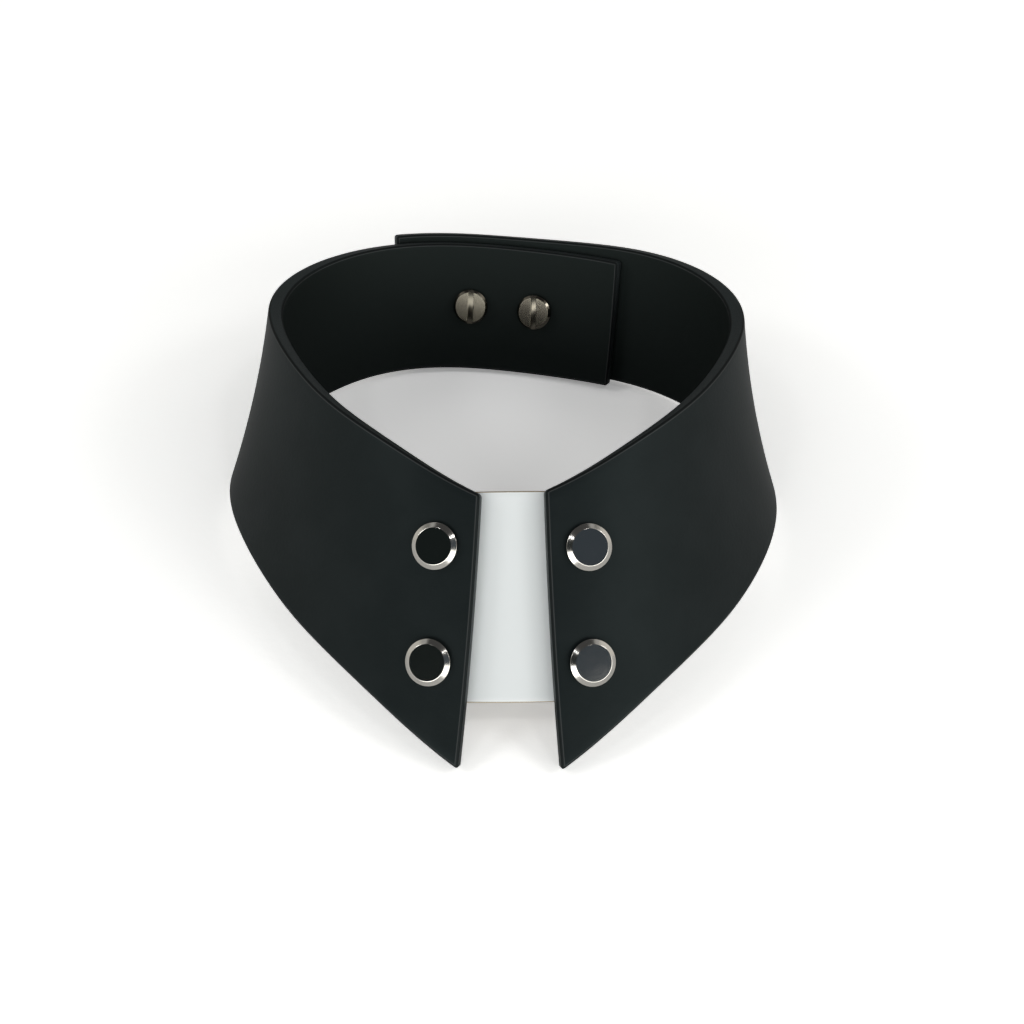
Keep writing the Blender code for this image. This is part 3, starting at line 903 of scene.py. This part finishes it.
floor_mesh = bpy.data.meshes.new("paper_floor")
corners = [(x * PAPER_REACH, y * PAPER_REACH, 0.0) for x, y in ((-1, -1), (1, -1), (1, 1), (-1, 1))]
floor_mesh.from_pydata(corners, [], [(0, 1, 2, 3)])
floor = bpy.data.objects.new("paper_floor", floor_mesh)
bpy.context.scene.collection.objects.link(floor)
paper = new_material("paper")[0]
tree = paper.node_tree
tooth = noise(tree, object_place(tree), TOOTH_SCALE, detail=3.0)
bump = add_node(tree, "Bump", "Normal", Height=tooth, Strength=TOOTH_RELIEF, Distance=TOOTH_DEPTH)
raised = PAPER_WHITE * PAPER_BOOST
true_tone = add_node(tree, "BsdfDiffuse", 0, Color=(PAPER_WHITE, PAPER_WHITE, PAPER_WHITE, 1.0), Normal=bump)
seen_tone = add_node(tree, "BsdfDiffuse", 0, Color=(raised, raised, raised, 1.0), Normal=bump)
lift = add_node(tree, "Emission", 0, Color=(1.0, 1.0, 1.0, 1.0), Strength=PAPER_LIFT)
seen_tone = add_node(tree, "AddShader", 0, s0=seen_tone, s1=lift)
seen_by_camera = add_node(tree, "LightPath", "Is Camera Ray")
surface_shader = add_node(tree, "MixShader", 0, s0=seen_by_camera, s1=true_tone, s2=seen_tone)
tree.links.new(surface_shader, tree.nodes["Material Output"].inputs["Surface"])
floor.data.materials.append(paper)

# %% [markdown]
# ## The lamps
#
# Two soft lamps stand at the sides, less than halfway up, and draw the two wide shadows. Two small bright
# ones stand higher, to the left and the right of the front: they hardly light anything, but each one draws
# a white spot on the caps' bevels. A lamp's power is worked out from the brightness that it should give the
# floor: power is brightness times pi squared times distance squared, over the paper's white and the sine of
# the lamp's angle of height.

# %% The lamps
LAMP_DISTANCE = 0.9


def direction(azimuth, elevation):
    """The way to a lamp: azimuth 0 is in front of the choker, and it grows towards +X."""
    azimuth, elevation = math.radians(azimuth), math.radians(elevation)
    return Vector((math.sin(azimuth) * math.cos(elevation), -math.cos(azimuth) * math.cos(elevation),
                   math.sin(elevation)))


def lamp(name, azimuth, elevation, width, floor_brightness):
    """A round lamp that faces the choker. Its width is the angle that it fills, seen from there."""
    data = bpy.data.lights.new(name, "AREA")
    data.shape = "DISK"
    data.size = 2.0 * LAMP_DISTANCE * math.tan(math.radians(width / 2.0))
    slant = math.sin(math.radians(elevation))
    data.energy = floor_brightness * (math.pi * LAMP_DISTANCE) ** 2 / (PAPER_WHITE * slant)
    light = bpy.data.objects.new(name, data)
    way = direction(azimuth, elevation)
    light.location = way * LAMP_DISTANCE
    light.rotation_euler = way.to_track_quat("Z", "Y").to_euler()
    bpy.context.scene.collection.objects.link(light)
    print(name, round(data.energy, 2), "watts")


lamp("left_lamp", -80.0, 38.0, 14.0, 0.050)
lamp("right_lamp", 80.0, 38.0, 14.0, 0.050)
lamp("left_spot", -58.0, 61.0, 5.0, 0.017)
lamp("right_spot", 58.0, 62.0, 5.0, 0.021)

# %% [markdown]
# ## The room
#
# The room is seen as a reflection and gives the soft light. It is built of zones, each between two angles
# to the side and two angles of height, as the caps' bevels mirror them: bright white panels low in front, a
# dark zone above them, which the caps' flats mirror, darker on the left than on the right, and warm grey at
# the sides and behind. Steps at the zones' borders are soft, and a zone's share is the difference of the
# steps at its two borders, so zones that share a border add up to one across it. Straight behind, where the
# angle jumps from 180 to -180, they add up to 0.74 only, which leaves a narrow dim line there.

# %% The room
ZONE_SOFTNESS = 3.0
DEGREES = 180.0 / math.pi
Zone = namedtuple("Zone", "side_from side_to low high colour")
ROOM = (
    Zone(-181, -120, -5, 45, (0.20, 0.20, 0.19)),
    Zone(120, 181, -5, 45, (0.20, 0.20, 0.19)),
    Zone(-120, -66, -5, 45, (0.62, 0.61, 0.57)),
    Zone(66, 120, -5, 45, (0.72, 0.70, 0.66)),
    Zone(-181, -66, 45, 56, (0.44, 0.44, 0.43)),
    Zone(66, 181, 45, 56, (0.44, 0.44, 0.43)),
    Zone(-181, 181, 56, 95, (0.06, 0.06, 0.06)),
    Zone(-66, 0, 24, 56, (0.010, 0.014, 0.014)),
    Zone(0, 66, 27, 56, (0.045, 0.057, 0.070)),
    Zone(-66, -40, -5, 24, (0.95, 0.95, 0.93)),
    Zone(-40, -12, -5, 24, (4.30, 4.30, 4.20)),
    Zone(-12, 40, -5, 27, (2.70, 2.70, 2.60)),
    Zone(40, 66, -5, 27, (3.10, 3.10, 3.00)),
)

world = bpy.data.worlds.new("room")
bpy.context.scene.world = world
world.use_nodes = True
tree = world.node_tree
way = add_node(tree, "TexCoord", "Generated")
way_x, way_y, way_z = (add_node(tree, "SeparateXYZ", axis, Vector=way) for axis in "XYZ")
way_front = arithmetic(tree, "MULTIPLY", way_y, -1.0)
side = arithmetic(tree, "ARCTAN2", way_x, way_front)
side = arithmetic(tree, "MULTIPLY", side, DEGREES)
height = add_node(tree, "Math", 0, {"operation": "ARCSINE"}, s0=way_z)
height = arithmetic(tree, "MULTIPLY", height, DEGREES)


def steps_at(value, edges):
    return {edge: graded(tree, value, edge - ZONE_SOFTNESS, edge + ZONE_SOFTNESS) for edge in edges}


side_steps = steps_at(side, {edge for zone in ROOM for edge in (zone.side_from, zone.side_to)})
height_steps = steps_at(height, {edge for zone in ROOM for edge in (zone.low, zone.high)})
room = (0.0, 0.0, 0.0)
for zone in ROOM:
    share = arithmetic(tree, "MULTIPLY",
                       arithmetic(tree, "SUBTRACT", side_steps[zone.side_from], side_steps[zone.side_to]),
                       arithmetic(tree, "SUBTRACT", height_steps[zone.low], height_steps[zone.high]))
    room = add_node(tree, "VectorMath", 0, {"operation": "MULTIPLY_ADD"}, s0=share, s1=zone.colour, s2=room)
background = tree.nodes["Background"]
tree.links.new(room, background.inputs["Color"])
print(len(ROOM), "zones,", len(side_steps) + len(height_steps), "borders")
bpy.context.scene.view_settings.view_transform = "Standard"

# %% [markdown]
# ## What each piece stands for
#
# The size that the three pieces of leather were cut to is worked out and printed. It is measured on the
# surface in the middle of the sheet, where bending changes no length.

# %% Flat sizes
def flat_size(surface, thickness):
    """The cut's greatest width, its greatest length and its area, all at half its thickness. The area is a
    sum of small parallelograms."""
    stations, lengths, widths = measured_lengths(surface, thickness / 2.0)
    along, across = np.meshgrid(stations, stations, indexing="ij")
    points = surface(along.ravel(), across.ravel(), np.full(along.size, thickness / 2.0))
    points = points.reshape(len(stations), len(stations), 3)
    over = np.diff(points, axis=0)[:, :-1]
    down = np.diff(points, axis=1)[:-1]
    area = float(np.linalg.norm(np.cross(over, down), axis=2).sum())
    return float(widths.max()), float(lengths.max()), area


declared = [(halves["left"], half_surface(LEFT), LEATHER, ["white_plate"]),
            (halves["right"], half_surface(RIGHT), LEATHER, ["white_plate", "choker_half_left"]),
            (plate, plate_surface, PLATE, [])]
for piece, surface, thickness, under in declared:
    width, length, area = flat_size(surface, thickness)
    print(piece.name, "flat", round(width, 4), "by", round(length, 4), "m, area", round(area, 6), "m2")

# %% [markdown]
# Every piece rides on the choker's one body and replaces the plain solid that it was made from.

# %% Bodies and solids
for name, piece in halves.items():
    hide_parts("leather_" + name)
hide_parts("front_plate")
for place, piece in posts.items():
    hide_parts("post_" + place)
for place, piece in screws.items():
    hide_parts("screw_" + place)
for piece in (*halves.values(), plate, *posts.values(), *screws.values()):
    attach(piece, "root")
